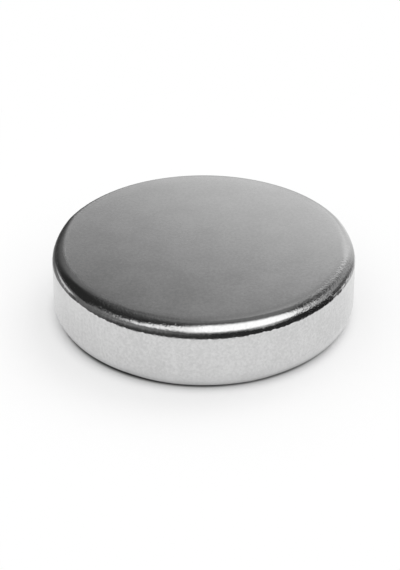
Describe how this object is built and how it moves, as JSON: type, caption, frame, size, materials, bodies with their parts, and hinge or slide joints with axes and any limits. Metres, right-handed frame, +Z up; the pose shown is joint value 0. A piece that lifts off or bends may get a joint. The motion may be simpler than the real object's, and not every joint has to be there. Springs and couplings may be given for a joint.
{
  "type": "disc magnet",
  "caption": "Plated round magnet disc with flat faces, a cylindrical side and rounded edges, for holding light things to steel or for setting in a pocket.",
  "frame": {"origin": "centre of the lower flat face, on the surface the disc lies on", "axes": "+Z up along the disc's axis, through its thickness; X and Y lie across the disc, which looks the same all the way round"},
  "size_m": [0.012, 0.012, 0.003],
  "materials": {
    "plate": "bright plate with a fine satin grain"
  },
  "bodies": {
    "root": {"magnet": "plate"}
  },
  "joints": []
}
